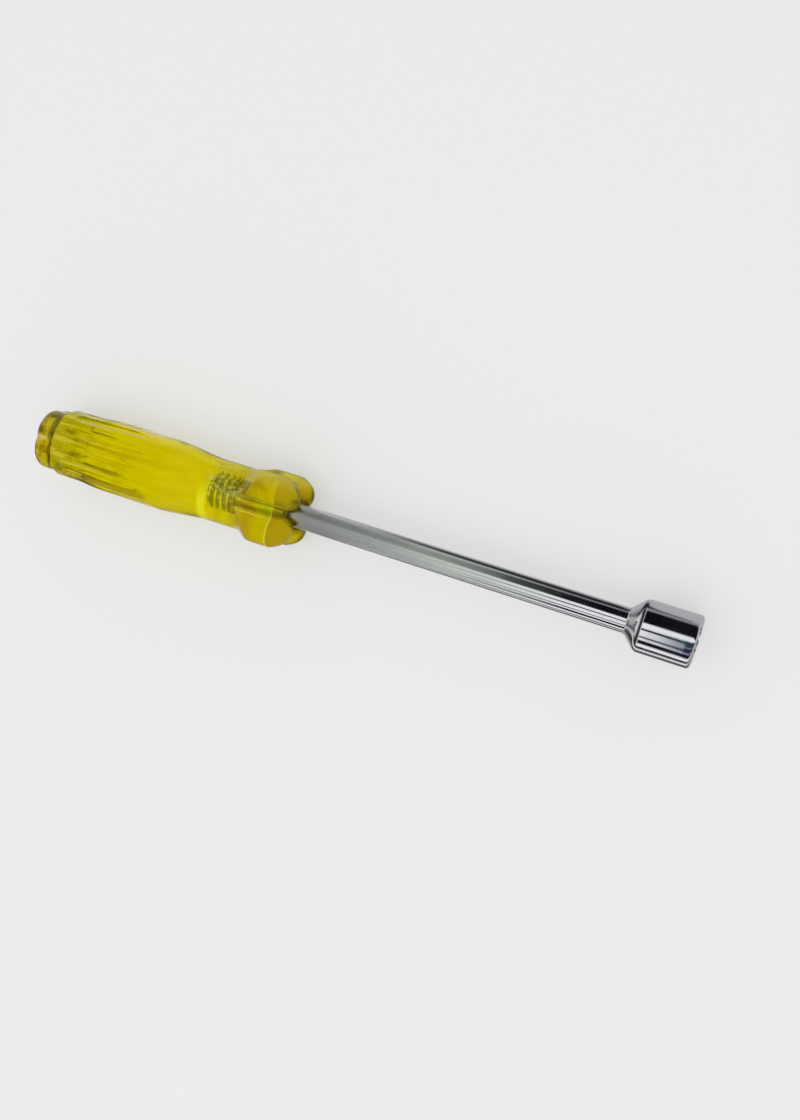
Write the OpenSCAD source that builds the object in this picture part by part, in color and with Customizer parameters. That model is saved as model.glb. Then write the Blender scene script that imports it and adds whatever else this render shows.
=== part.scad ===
// Socket wrench with a clear moulded handle, in millimetres.
// The tool's axis is X. The socket's mouth is centred on the origin and faces +X, and Z is up.
// The tool lies on two lobes of its bolster, with a valley of the bolster facing up.

/* [Socket head] */
// Size of the nut across its flats
nut_af = 11; // [8:0.5:14]
// Play between the nut and the recess, across the flats
nut_play = 0.1; // [0.05:0.05:0.3]
// Depth of the six-sided recess
hex_depth = 10; // [6:0.5:16]
// Depth of the round relief behind the six-sided recess
relief_depth = 2; // [1:0.25:4]
// How much the relief's radius is less than that of the recess's flats
relief_step = 0.15; // [0.1:0.05:0.5]
// Width of the bevel that leads the nut into the recess
lead_in = 0.35; // [0.2:0.05:0.6]
// Wall outside the corners of the recess
socket_wall = 1.2; // [0.9:0.1:2]
// Solid metal between the relief and the end of the shaft
socket_web = 1.5; // [1:0.25:3]
// Length of the shaft inside the socket head
shaft_seat = 6; // [4:0.5:9]
// Wall of the socket head round the shaft, at its back end
back_lip = 0.3; // [0.2:0.05:0.8]
// Slope of the shoulder against the axis, in degrees
shoulder_angle = 45; // [30:1:50]
// Radius that rounds the shoulder into the barrel
shoulder_round = 2.5; // [1:0.1:8]
// Radius of the outer edge at the mouth
rim_round = 0.8; // [0.3:0.05:1]

/* [Shaft] */
// Diameter of the round bar
shaft_d = 7.4; // [5:0.2:8.4]
// Length of the bar between the socket head and the handle
shaft_length = 100; // [60:5:150]
// Depth of the tang's end behind the nose of the handle
tang_depth = 29; // [24:1:45]
// Number of ribs on the tang
rib_count = 5; // [3:1:6]
// Distance from one rib to the next
rib_pitch = 2.1; // [1.8:0.1:3]
// Width of one rib
rib_width = 1.1; // [0.8:0.1:1.4]
// Height of the ribs above the bar
rib_height = 1; // [0.6:0.1:1.5]
// Depth of the two flats cut across the ribs
flat_cut = 0.5; // [0.2:0.1:0.6]
// Bevel at each end of the bar
bar_bevel = 0.4; // [0.2:0.1:0.8]

/* [Handle lengths] */
// Length of the butt cap, from its end to the seam
cap_length = 9; // [7:0.5:14]
// Length of the plain collar in front of the seam
collar_length = 6.5; // [4:0.5:10]
// Length over which the barrel swells from the collar to the belly
swell_length = 10; // [6:1:24]
// Length of the belly
belly_length = 19.5; // [10:1:30]
// Length over which the barrel tapers to the neck
taper_length = 20; // [14:1:40]
// Length of the neck
neck_length = 9; // [6:0.5:20]
// Length of the bolster's rising back
flank_length = 8; // [5:0.5:12]
// Length of the bolster's land
land_length = 6; // [4:0.5:10]
// Height of the domed front face
nose_length = 6.5; // [2:0.25:7]

/* [Handle widths] */
// Diameter over the lobes of the butt cap
cap_d = 21.3; // [19:0.1:21.6]
// Diameter of the collar
collar_d = 21.5; // [21:0.1:24]
// Diameter of the belly
belly_d = 22.8; // [21:0.1:26]
// Diameter of the neck
neck_d = 19.6; // [16:0.2:21]
// Diameter over the lobes of the bolster
bolster_d = 28; // [24:0.2:30]

/* [Handle details] */
// Number of lobes on the bolster and on the butt cap
lobe_count = 4; // [3:1:5]
// Radius of a bolster lobe, seen along the axis
lobe_round = 5.2; // [4:0.1:6]
// Diameter across the valley floors at the front of the bolster
valley_d = 18.4; // [14:0.2:19]
// Radius of the bolster's front edge
front_edge = 0.8; // [0.4:0.1:1.5]
// Radius of a butt cap lobe, seen along the axis
cap_lobe_round = 5.7; // [5:0.1:6.5]
// Diameter across the valley floors of the butt cap
cap_valley_d = 16.4; // [14:0.1:18.6]
// Height of the butt cap's crowned end
cap_crown = 1; // [0.5:0.1:2]
// Radius of the butt cap's edge
cap_edge = 3.2; // [1:0.2:4]
// Diameter of the spigot that holds the butt cap
spigot_d = 9; // [6:0.5:12]
// Length of the spigot that holds the butt cap
spigot_length = 8; // [4:0.5:12]
// Bevel of the handle's edge at the seam
seam_bevel = 0.3; // [0.1:0.1:0.6]
// Number of flutes round the barrel
flute_count = 12; // [6:1:14]
// Radius of a flute's round bottom
flute_round = 4.2; // [1.2:0.1:5]
// Depth of a flute at its round back end
flute_depth = 0.5; // [0.3:0.05:0.8]
// Distance over which a flute runs out to the surface of the belly
flute_length = 27; // [20:1:50]
// Distance from the seam to the back ends of the flutes
flute_margin = 3.5; // [2:0.25:6]
// Room round the shaft in the recess of the nose
recess_gap = 1.1; // [0.6:0.1:2]
// Depth of the recess in the nose
recess_depth = 3; // [1:0.25:5]
// Clearance left at each brazed or bonded joint
bond_gap = 0.02; // [0.01:0.01:0.05]

/* [Hidden] */
$fn = 96;

// Steps of a curved stretch of an outline
blend_steps = 8;
// How far a cutter or a form reaches past the surface that it crosses
past = 1;

// Radii
hex_flat_r = (nut_af + nut_play) / 2;
hex_r = hex_flat_r / cos(30);
relief_r = hex_flat_r - relief_step;
mouth_r = hex_r + lead_in;
socket_r = hex_r + socket_wall;
rim_r = min(rim_round, (socket_r - mouth_r) * 0.95);
shaft_r = shaft_d / 2;
back_r = shaft_r + bond_gap + back_lip;
rib_r = shaft_r + rib_height;
cap_r = cap_d / 2;
collar_r = collar_d / 2;
belly_r = belly_d / 2;
neck_r = neck_d / 2;
bolster_r = bolster_d / 2;
valley_r = valley_d / 2;
recess_r = shaft_r + recess_gap;
dome_r = bolster_r - front_edge;

// Places along the axis, from the mouth of the socket to the butt
relief_x = -hex_depth - relief_depth;
shaft_front_x = relief_x - socket_web;
socket_back_x = shaft_front_x - shaft_seat;
nose_x = socket_back_x - shaft_length;
dome_x = nose_x - nose_length;
land_x = dome_x - front_edge;
flank_front_x = dome_x - land_length;
flank_back_x = flank_front_x - flank_length;
taper_front_x = flank_back_x - neck_length;
taper_back_x = taper_front_x - taper_length;
swell_front_x = taper_back_x - belly_length;
swell_back_x = swell_front_x - swell_length;
seam_x = swell_back_x - collar_length;
butt_x = seam_x - cap_length;
tang_x = nose_x - tang_depth;
rib_start_x = tang_x + bar_bevel;

// The shoulder: a cone from the back end, rounded into the barrel
shoulder_drop = socket_r - back_r;
shoulder_r = min(shoulder_round, 0.9 * shoulder_drop / (1 - cos(shoulder_angle)));
cone_drop = shoulder_drop - shoulder_r * (1 - cos(shoulder_angle));
cone_front_x = socket_back_x + cone_drop / tan(shoulder_angle);
shoulder_x = cone_front_x + shoulder_r * sin(shoulder_angle);

// The valleys of the bolster start in the neck, where their floor is still outside the surface
valley_lead = 0.3;
valley_x = flank_back_x - past;

// A flute's floor climbs from its back end to the surface of the belly
flute_end_r = sqrt(pow(flute_round, 2) - pow(flute_round - flute_depth, 2));
flute_back_x = seam_x + flute_margin + flute_end_r;
flute_floor_r = collar_r - flute_depth;
flute_axis_r = flute_floor_r + flute_round;
flute_tilt = atan((belly_r - flute_floor_r) / flute_length);

// Radius on a smooth rise or fall from r0 to r1, at the share f of its length
function smooth_r(r0, r1, f) = r0 + (r1 - r0) * (1 - cos(180 * f)) / 2;

// Outline points [radius, x] of a smooth rise or fall between two places
function smooth_run(x0, r0, x1, r1) = [
    for (i = [0 : blend_steps]) [smooth_r(r0, r1, i / blend_steps), x0 + (x1 - x0) * i / blend_steps]
];

// Outline points [radius, x] of an arc about a centre, from angle a0 to a1 where 0 is outwards
function arc_run(centre_r, centre_x, radius, a0, a1) = [
    for (i = [0 : blend_steps])
        let (a = a0 + (a1 - a0) * i / blend_steps)
        [centre_r + radius * cos(a), centre_x + radius * sin(a)]
];

// Outline points [radius, x] of a shallow dome, from its crown to just short of its edge at radius r, place x
function dome_run(r, x, height) = [
    for (i = [0 : blend_steps - 1])
        let (f = i / blend_steps)
        [r * f, x + height * (1 - f * f)]
];

// Lays a shape that is built up along Z on the tool's axis
module on_axis() {
    rotate([0, 90, 0]) children();
}

// A turned solid from outline points [radius, x]
module turned(outline) {
    on_axis() rotate_extrude() polygon(outline);
}

// A round bar on the axis, from x0 to x1
module bar(r, x0, x1) {
    translate([x0, 0, 0]) on_axis() cylinder(r = r, h = x1 - x0);
}

// Copies a shape that points up to evenly spaced angles about the axis
module around(count, first_angle) {
    for (i = [0 : count - 1]) rotate([first_angle + i * 360 / count, 0, 0]) children();
}

// Round lobes along the axis, from x0 to x1, which reach out to the radius r
module lobes(r, round, x0, x1) {
    around(lobe_count, 180 / lobe_count) translate([0, 0, r - round]) bar(round, x0, x1);
}

module socket_outside() {
    turned(concat(
        [[0, 0]],
        arc_run(socket_r - rim_r, -rim_r, rim_r, 90, 0),
        arc_run(socket_r - shoulder_r, shoulder_x, shoulder_r, 0, -shoulder_angle),
        [[back_r, socket_back_x], [0, socket_back_x]]
    ));
}

module nut_recess() {
    translate([-hex_depth, 0, 0]) on_axis() rotate(30) cylinder(r = hex_r, h = hex_depth + past, $fn = 6);
    bar(relief_r, relief_x, past);
    translate([-2 * lead_in, 0, 0]) on_axis()
        cylinder(r1 = hex_r - lead_in, r2 = mouth_r + past, h = 2 * lead_in + past);
}

module socket_head() {
    color([0.78, 0.79, 0.82]) difference() {
        socket_outside();
        nut_recess();
        bar(shaft_r + bond_gap, socket_back_x - past, shaft_front_x + bond_gap);
    }
}

// The ribs of the tang, with a flat on each side that keeps the bar from turning in the handle
module tang_ribs(gap) {
    flat_r = rib_r - flat_cut + gap;
    ribs_end_x = rib_start_x + (rib_count - 1) * rib_pitch + rib_width;
    intersection() {
        for (i = [0 : rib_count - 1]) {
            x = rib_start_x + i * rib_pitch;
            bar(rib_r + gap, x - gap, x + rib_width + gap);
        }
        translate([rib_start_x - past, -flat_r, -rib_r - past])
            cube([ribs_end_x - rib_start_x + 2 * past, 2 * flat_r, 2 * (rib_r + past)]);
    }
}

module shaft() {
    color([0.74, 0.75, 0.77]) {
        turned([
            [0, tang_x],
            [shaft_r - bar_bevel, tang_x],
            [shaft_r, tang_x + bar_bevel],
            [shaft_r, shaft_front_x - bar_bevel],
            [shaft_r - bar_bevel, shaft_front_x],
            [0, shaft_front_x]
        ]);
        tang_ribs(0);
    }
}

// The widest form of the handle: barrel, neck, bolster and domed front, all turned
module handle_envelope() {
    turned(concat(
        dome_run(dome_r, dome_x, nose_length),
        arc_run(dome_r, land_x, front_edge, 90, 0),
        smooth_run(flank_front_x, bolster_r, flank_back_x, neck_r),
        smooth_run(taper_front_x, neck_r, taper_back_x, belly_r),
        smooth_run(swell_front_x, belly_r, swell_back_x, collar_r),
        [[collar_r, seam_x + seam_bevel], [collar_r - seam_bevel, seam_x], [0, seam_x]]
    ));
}

// The valley floors of the bolster, and everything behind them
module handle_core() {
    bar(max(bolster_r, belly_r, collar_r) + past, seam_x - past, valley_x);
    turned([[0, valley_x], [neck_r + valley_lead, valley_x], [valley_r, nose_x], [0, nose_x + past]]);
}

module flutes() {
    around(flute_count, 0) translate([flute_back_x, 0, flute_axis_r]) {
        sphere(r = flute_round);
        rotate([0, -flute_tilt, 0]) bar(flute_round, 0, flute_length + taper_length);
    }
}

// The room that the shaft takes in the handle
module shaft_room() {
    bar(shaft_r + bond_gap, tang_x - bond_gap, nose_x + past);
    tang_ribs(bond_gap);
    bar(recess_r, nose_x - recess_depth, nose_x + past);
}

module grip_handle() {
    color([0.80, 0.73, 0.03]) difference() {
        intersection() {
            handle_envelope();
            union() {
                handle_core();
                lobes(bolster_r, lobe_round, valley_x - past, nose_x + past);
            }
        }
        flutes();
        shaft_room();
        bar(spigot_d / 2 + bond_gap, seam_x - past, seam_x + spigot_length + bond_gap);
    }
}

module cap_envelope() {
    crown_x = butt_x + cap_crown;
    edge_r = cap_r - cap_edge;
    turned(concat(
        dome_run(edge_r, crown_x, -cap_crown),
        arc_run(edge_r, crown_x + cap_edge, cap_edge, -90, 0),
        [[cap_r, seam_x], [0, seam_x]]
    ));
}

module butt_cap() {
    color([0.62, 0.50, 0.05]) {
        intersection() {
            cap_envelope();
            union() {
                bar(cap_valley_d / 2, butt_x - past, seam_x + past);
                lobes(cap_r, cap_lobe_round, butt_x - past, seam_x + past);
            }
        }
        bar(spigot_d / 2, seam_x - past, seam_x + spigot_length);
    }
}

socket_head();
shaft();
grip_handle();
butt_cap();
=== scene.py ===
import math

import bmesh
import bpy
from mathutils import Matrix, Vector


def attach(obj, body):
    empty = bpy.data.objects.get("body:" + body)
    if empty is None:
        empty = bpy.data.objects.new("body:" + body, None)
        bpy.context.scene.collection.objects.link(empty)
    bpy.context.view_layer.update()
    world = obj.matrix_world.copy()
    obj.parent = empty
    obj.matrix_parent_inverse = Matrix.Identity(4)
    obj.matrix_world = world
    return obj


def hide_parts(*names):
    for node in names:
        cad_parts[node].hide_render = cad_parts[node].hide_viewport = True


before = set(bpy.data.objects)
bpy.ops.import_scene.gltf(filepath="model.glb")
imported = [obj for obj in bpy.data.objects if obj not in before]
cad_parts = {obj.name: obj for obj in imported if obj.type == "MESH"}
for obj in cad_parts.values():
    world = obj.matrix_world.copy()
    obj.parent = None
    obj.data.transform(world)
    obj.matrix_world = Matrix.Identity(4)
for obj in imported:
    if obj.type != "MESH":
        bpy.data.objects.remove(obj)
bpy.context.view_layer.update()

# Sizes are in millimetres and angles in degrees, unless a comment says otherwise.
# The tool lies along x: 0 is the socket's mouth, and x falls towards the butt.
MM = 0.001

# Socket head
SOCKET_R = 7.609
SOCKET_BACK = -19.5
CONE_ANGLE = 45
CONE_SHARES = (0.12, 0.4, 0.7, 0.95)
SHOULDER_ROUND = 2.5
BACK_R = 4.02
BACK_LIP = 0.3
BACK_SINK = 0.02
BACK_BEVEL = 0.1
BACK_FLARE = 0.02
RIM_ROUND = 1.1
RIM_TURNS = (15, 30, 45, 60, 75, 90)
MOUTH_R = 6.5
LEAD_R = 6.059
LEAD_DEPTH = 0.441
LEAD_STEP = 0.02
HEX_SIDES = (0, 60)
HEX_FLAT_R = 5.55
HEX_TOP = -1.5
HEX_DEPTH = 10.0
RELIEF_R = 5.4
RELIEF_DEPTH = 12.0
SEAT_X = -13.48
SEAT_FIT = 0.05
SOCKET_POINTS = 192
SHOULDER_RINGS, BARREL_RINGS = 10, 8

# Shaft and its ribbed tang
SHAFT_R = 3.7
SHAFT_FRONT = -13.5
BAR_BEVEL = 0.4
BAR_RINGS = 24
TANG_END = -150.8
RIB_COUNT = 5
RIB_PITCH = 2.1
RIB_WIDTH = 1.1
RIB_R = 4.25
RIB_FACE = 0.18
RIB_FLAT = 3.9
SHAFT_POINTS = 128

# Lobes of the bolster and the cap: where the first one is, and how far apart they are
LOBES = (45, 90)

# Handle
LINE_X = -126.5
LOBE_RISE = 5.6
VALLEY_RISE = 2.8
NOSE_FULL = 4.0
NOSE_SHARES = (0.03, 0.12, 0.25, 0.4, 0.52, 0.62, 0.7, 0.78, 0.85, 0.91, 0.96, 0.985)
LIP_ROUND = 0.25
BOLSTER_R = 13.35
FLANK_FRONT = -132.0
FLANK_BACK = -140.0
FLANK_MIDDLE = -136.5
TAPER_FRONT = -149.0
TAPER_BACK = -169.0
SWELL_FRONT = -188.5
SWELL_BACK = -198.5
SEAM_X = -205.0
NECK_R = 9.8
BELLY_R = 11.4
COLLAR_R = 10.75
SEAM_BEVEL = 0.05
SEAM_LAND = 0.15
LOBE_ROUND = 5.2
FRONT_EDGE = 0.3
WALL_STEP = 0.6
WALL_BLEND = 0.02
VALLEY_BACK = -141.0
VALLEY_BACK_R = 10.1
VALLEY_FRONT = -119.5
VALLEY_FRONT_R = 9.2
VALLEY_EDGE = 12.4
CREASE = 0.3
RECESS_R = 4.8
RECESS_X = -126.0
BORE_R = 3.6
BORE_END = -150.6
FLUTE_ROUND = 4.2
FLUTE_START = -199.5
FLUTE_END = -201.45
FLUTE_AXIS_R = 14.45
FLUTE_TILT = 2.4
FLUTE_TURN = 0
FLUTE_PITCH = 30
FLUTE_SHARE = 0.6
FLUTE_LEAST = 4.0
FLUTE_LEAD = 5.0
HANDLE_POINTS = 240
WALL_RINGS, FLANK_RINGS, NECK_RINGS, TAPER_RINGS = 7, 12, 5, 14
FLUTE_RINGS, SWELL_RINGS, RUNOUT_RINGS, COLLAR_RINGS = 14, 7, 9, 3

# Butt cap
CAP_R = 10.64
CAP_CORE_R = 6.0
CAP_FRONT = -205.02
CAP_LOBE_ROUND = 6.3
CAP_VALLEY_R = 7.7
CAP_EDGE = 3.3
CAP_VALLEY_EDGE = 1.6
CAP_WALL_STEP = 0.2
CAP_WALL_RINGS = 4
CORNER_TURNS = (0, 11, 22, 33, 45, 57, 68, 79, 90)
CROWN_SHARES = (0.08, 0.2, 0.4, 0.6, 0.8, 0.94)
CROWN_X = -213.0
BUTT_X = -214.0

# Edges sharper than this stay sharp
HANDLE_SMOOTH, PLAIN_SMOOTH = 24, 32

# Slack in metres for shifts and welds, and in degrees for the flutes' edges and for sorting points
NO_SHIFT, WELD = 1e-9, 1e-7
EDGE_SLACK, SORT_SLACK = 1e-6, 0.1


# Shaping tools

def turn_of(v):
    """Degrees of a point round the axis, from straight up."""
    return math.degrees(math.atan2(v.co.y, v.co.z))


def reach_of(v):
    """Metres of a point from the axis."""
    return math.hypot(v.co.y, v.co.z)


def off_from(turn, first, pitch):
    """Degrees from the nearest of the places first, first + pitch and so on round the axis."""
    return abs((turn - first + pitch / 2) % pitch - pitch / 2)


def soft_max(a, b, blend):
    return (a + b + math.hypot(a - b, blend)) / 2


def soft_min(a, b, blend):
    return (a + b - math.hypot(a - b, blend)) / 2


def spread(first, last, steps):
    """Evenly spaced places after first, up to and with last."""
    return [first + (last - first) * i / steps for i in range(1, steps + 1)]


def cosine_blend(x, x0, x1, r0, r1):
    """Goes smoothly from r0 at x0 to r1 at x1."""
    part = min(max((x - x0) / (x1 - x0), 0), 1)
    return r0 + (r1 - r0) * (1 - math.cos(math.pi * part)) / 2


def choose(points, on):
    for v in points:
        v.select_set(on)


def begin_ring(name, points, x, r):
    """Starts a piece as one ring about the tool's axis."""
    bpy.ops.object.select_all(action="DESELECT")
    bpy.ops.mesh.primitive_circle_add(
        vertices=points, radius=r * MM, location=(x * MM, 0, 0), rotation=(0, math.pi / 2, 0)
    )
    piece = bpy.context.object
    piece.name = piece.data.name = name
    bpy.ops.object.transform_apply(location=True, rotation=True, scale=True)
    bpy.ops.object.mode_set(mode="EDIT")
    bpy.context.tool_settings.mesh_select_mode = (True, False, False)
    bpy.ops.mesh.select_all(action="SELECT")
    return piece


def newest_ring(piece):
    mesh = bmesh.from_edit_mesh(piece.data)
    return mesh, [v for v in mesh.verts if v.select]


def pull_ring(piece, x, r):
    """Extrudes the newest ring to the place x and the radius r."""
    bpy.ops.mesh.extrude_region_move()
    _, ring = newest_ring(piece)
    shift = x * MM - ring[0].co.x
    grow = r * MM / reach_of(ring[0])
    bpy.ops.transform.translate(value=(shift, 0, 0))
    bpy.ops.transform.resize(value=(1, grow, grow), center_override=(x * MM, 0, 0))


def form_ring(piece, first, pitch, place):
    """Moves the newest ring's points to place(degrees off the pattern), one matching set at a time."""
    mesh, ring = newest_ring(piece)
    sets = {}
    for v in ring:
        sets.setdefault(round(off_from(turn_of(v), first, pitch), 3), []).append(v)
    choose(ring, False)
    for off, points in sets.items():
        x, r = place(off)
        choose(points, True)
        grow = r * MM / reach_of(points[0])
        shift = x * MM - points[0].co.x
        bpy.ops.transform.resize(value=(1, grow, grow), center_override=(0, 0, 0))
        if abs(shift) > NO_SHIFT:
            bpy.ops.transform.translate(value=(shift, 0, 0))
        choose(points, False)
    choose(ring, True)
    mesh.select_flush_mode()


def pull_formed(piece, x, r, first, pitch, place):
    pull_ring(piece, x, r)
    form_ring(piece, first, pitch, place)


def close_ends(piece, points):
    """Closes the newest ring and the first one with a flat face each."""
    bpy.ops.mesh.edge_face_add()
    mesh = bmesh.from_edit_mesh(piece.data)
    mesh.verts.ensure_lookup_table()
    bpy.ops.mesh.select_all(action="DESELECT")
    choose(mesh.verts[:points], True)
    mesh.select_flush_mode()
    bpy.ops.mesh.edge_face_add()


def finish_piece(piece, material, smooth):
    """Cleans the mesh, gives it its finish and puts it in the place of its solid."""
    bpy.ops.mesh.select_all(action="SELECT")
    bpy.ops.mesh.remove_doubles(threshold=WELD)
    bpy.ops.mesh.normals_make_consistent(inside=False)
    bpy.ops.object.mode_set(mode="OBJECT")
    bpy.ops.object.shade_smooth_by_angle(angle=math.radians(smooth))
    piece.data.materials.append(material)
    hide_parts(piece.name.removesuffix("_look"))
    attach(piece, "root")
    return piece


# Handle

def lobe_reach(beta, out, lobe_round):
    """How far a lobe goes out on a ray that is beta degrees off its middle."""
    middle = out - lobe_round
    across = middle * math.sin(math.radians(beta))
    return middle * math.cos(math.radians(beta)) + math.sqrt(max(lobe_round ** 2 - across ** 2, 0))


def bolster_side(beta, x):
    """The bolster's lobed section: lobes, with a valley floor that rises a little to the neck."""
    part = (x - VALLEY_BACK) / (VALLEY_FRONT - VALLEY_BACK)
    valley = VALLEY_BACK_R + (VALLEY_FRONT_R - VALLEY_BACK_R) * part
    return soft_max(valley, lobe_reach(beta, BOLSTER_R, LOBE_ROUND), CREASE)


def handle_outline(x):
    """The handle's turned outline, before lobes and flutes."""
    if x > FLANK_FRONT:
        return BOLSTER_R
    if x > FLANK_BACK:
        return cosine_blend(x, FLANK_FRONT, FLANK_BACK, BOLSTER_R, NECK_R)
    if x > TAPER_BACK:
        return cosine_blend(x, TAPER_FRONT, TAPER_BACK, NECK_R, BELLY_R)
    return cosine_blend(x, SWELL_FRONT, SWELL_BACK, BELLY_R, COLLAR_R)


def flute_cut(x):
    """The flute's section at x: how far out its middle is, its radius, and the degrees to its edge."""
    along = x - FLUTE_START
    middle = FLUTE_AXIS_R + max(along, 0) * math.tan(math.radians(FLUTE_TILT))
    round_r = math.sqrt(FLUTE_ROUND ** 2 - min(along, 0) ** 2)
    r = handle_outline(x)
    meets = (middle ** 2 + r ** 2 - round_r ** 2) / (2 * middle * r)
    return middle, round_r, math.degrees(math.acos(meets)) if meets < 1 else 0


def form_flutes(piece, x):
    """Draws the newest ring's points to the flutes' edges and sinks those between them to the floor."""
    middle, round_r, edge = flute_cut(x)
    half = FLUTE_PITCH / 2
    share_at = FLUTE_SHARE * half
    wide = max(edge, cosine_blend(x, TAPER_BACK, TAPER_BACK - FLUTE_LEAD, share_at, FLUTE_LEAST))
    mesh, ring = newest_ring(piece)
    ring.sort(key=lambda v: (turn_of(v) - FLUTE_TURN + SORT_SLACK) % 360)
    columns = HANDLE_POINTS * FLUTE_PITCH // 360
    choose(ring, False)
    for column in range(columns):
        points = ring[column::columns]
        off = (column / columns * FLUTE_PITCH + half) % FLUTE_PITCH - half
        now = (turn_of(points[0]) - FLUTE_TURN + half) % FLUTE_PITCH - half
        spot = abs(off)
        outside = wide + (half - wide) * (spot - share_at) / (half - share_at)
        goal = wide * spot / share_at if spot < share_at else outside
        r = handle_outline(x)
        if goal < edge - EDGE_SLACK:
            reach = round_r ** 2 - (middle * math.sin(math.radians(goal))) ** 2
            r = middle * math.cos(math.radians(goal)) - math.sqrt(reach)
        choose(points, True)
        grow = r * MM / reach_of(points[0])
        bpy.ops.transform.resize(value=(1, grow, grow), center_override=(0, 0, 0))
        swing = math.radians(math.copysign(goal, off) - now)
        if spot < half:
            bpy.ops.transform.rotate(value=swing, orient_axis="X", center_override=(0, 0, 0))
        choose(points, False)
    choose(ring, True)
    mesh.select_flush_mode()


def nose_rise(beta):
    """How far the front stands forward of the edge line: more on a lobe than in a valley."""
    valley, lobe = bolster_side(LOBES[1] / 2, LINE_X), bolster_side(0, LINE_X)
    share = (bolster_side(beta, LINE_X) - valley) / (lobe - valley)
    return VALLEY_RISE + (LOBE_RISE - VALLEY_RISE) * share


def bolster_front(q, back=0.0):
    """Places on the rounded front, a share q of the way from the recess to the edge line."""
    def place(beta):
        edge_r = bolster_side(beta, LINE_X)
        x = LINE_X + nose_rise(beta) * (1 - q ** NOSE_FULL)
        return x - back, RECESS_R + (edge_r - RECESS_R) * q
    return place


def bolster_wall(x, inset=0.0):
    """Places on the lobes' straight sides."""
    def place(beta):
        return x, soft_min(bolster_side(beta, x) - inset, handle_outline(x), WALL_BLEND)
    return place


def bolster_flank(x):
    """Places where the lobes run down to the neck."""
    def place(beta):
        return x, soft_min(bolster_side(beta, x), handle_outline(x), CREASE)
    return place


def make_grip_handle(material):
    piece = begin_ring("grip_handle_look", HANDLE_POINTS, BORE_END, BORE_R)
    pull_ring(piece, RECESS_X, BORE_R)
    pull_ring(piece, RECESS_X, RECESS_R)
    lip = LINE_X + VALLEY_RISE
    pull_formed(piece, lip, RECESS_R, *LOBES, bolster_front(0, LIP_ROUND))
    for q in NOSE_SHARES:
        pull_formed(piece, lip, RECESS_R, *LOBES, bolster_front(q))
    pull_formed(piece, LINE_X, BOLSTER_R, *LOBES, bolster_wall(LINE_X, FRONT_EDGE / 3))
    wall_front = LINE_X - FRONT_EDGE
    wall_back = FLANK_FRONT - WALL_STEP
    for x in [wall_front] + spread(wall_front, wall_back, WALL_RINGS):
        pull_formed(piece, x, BOLSTER_R, *LOBES, bolster_wall(x))
    for x in spread(wall_back, VALLEY_BACK, FLANK_RINGS):
        pull_formed(piece, x, handle_outline(x), *LOBES, bolster_flank(x))
    neck = spread(VALLEY_BACK, TAPER_FRONT, NECK_RINGS)
    for x in neck + spread(TAPER_FRONT, TAPER_BACK, TAPER_RINGS):
        pull_ring(piece, x, handle_outline(x))
    fluted = spread(TAPER_BACK, SWELL_FRONT, FLUTE_RINGS) + spread(SWELL_FRONT, FLUTE_START, SWELL_RINGS)
    for x in fluted + spread(FLUTE_START, FLUTE_END, RUNOUT_RINGS):
        pull_ring(piece, x, handle_outline(x))
        form_flutes(piece, x)
    seam_edge = SEAM_X + SEAM_BEVEL
    for x in spread(FLUTE_END, seam_edge + SEAM_LAND, COLLAR_RINGS) + [seam_edge]:
        pull_ring(piece, x, COLLAR_R)
    for inset in (SEAM_BEVEL, SEAM_BEVEL + SEAM_LAND):
        pull_ring(piece, SEAM_X, COLLAR_R - inset)
    close_ends(piece, HANDLE_POINTS)
    return finish_piece(piece, material, HANDLE_SMOOTH)


# Butt cap

def cap_side(beta):
    """The cap's lobed section."""
    return soft_max(CAP_VALLEY_R, lobe_reach(beta, CAP_R, CAP_LOBE_ROUND), CREASE)


def cap_edge(beta):
    """The rounding of the back edge: more on a lobe than in a valley."""
    share = (cap_side(beta) - CAP_VALLEY_R) / (CAP_R - CAP_VALLEY_R)
    return CAP_VALLEY_EDGE + (CAP_EDGE - CAP_VALLEY_EDGE) * share


def cap_wall(x, inset=0.0):
    """Places on the cap's side."""
    def place(beta):
        return x, cap_side(beta) - inset
    return place


def cap_corner(turn):
    """Places on the rounded back edge, turned from the side (0) to the end (90)."""
    def place(beta):
        edge = cap_edge(beta)
        back = CROWN_X + edge
        x = back - edge * math.sin(math.radians(turn))
        return x, cap_side(beta) - edge * (1 - math.cos(math.radians(turn)))
    return place


def cap_end(share):
    """Places on the crowned end, a share of the way in from the edge to the middle."""
    def place(beta):
        edge_r = cap_side(beta) - cap_edge(beta)
        r = edge_r * (1 - share)
        return CROWN_X + (BUTT_X - CROWN_X) * (1 - (1 - share) ** 2), r
    return place


def make_butt_cap(material):
    piece = begin_ring("butt_cap_look", HANDLE_POINTS, CAP_FRONT, CAP_CORE_R)
    for inset in (SEAM_BEVEL + SEAM_LAND, SEAM_BEVEL):
        pull_formed(piece, CAP_FRONT, CAP_R, *LOBES, cap_wall(CAP_FRONT, inset))
    wall_front = CAP_FRONT - SEAM_BEVEL
    land_back = wall_front - SEAM_LAND
    wall_back = CROWN_X + CAP_EDGE + CAP_WALL_STEP
    for x in [wall_front, land_back] + spread(land_back, wall_back, CAP_WALL_RINGS):
        pull_formed(piece, x, CAP_R, *LOBES, cap_wall(x))
    for turn in CORNER_TURNS:
        pull_formed(piece, CROWN_X, CAP_R, *LOBES, cap_corner(turn))
    for share in CROWN_SHARES:
        pull_formed(piece, CROWN_X, CAP_R, *LOBES, cap_end(share))
    close_ends(piece, HANDLE_POINTS)
    return finish_piece(piece, material, PLAIN_SMOOTH)


# Shaft

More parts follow.
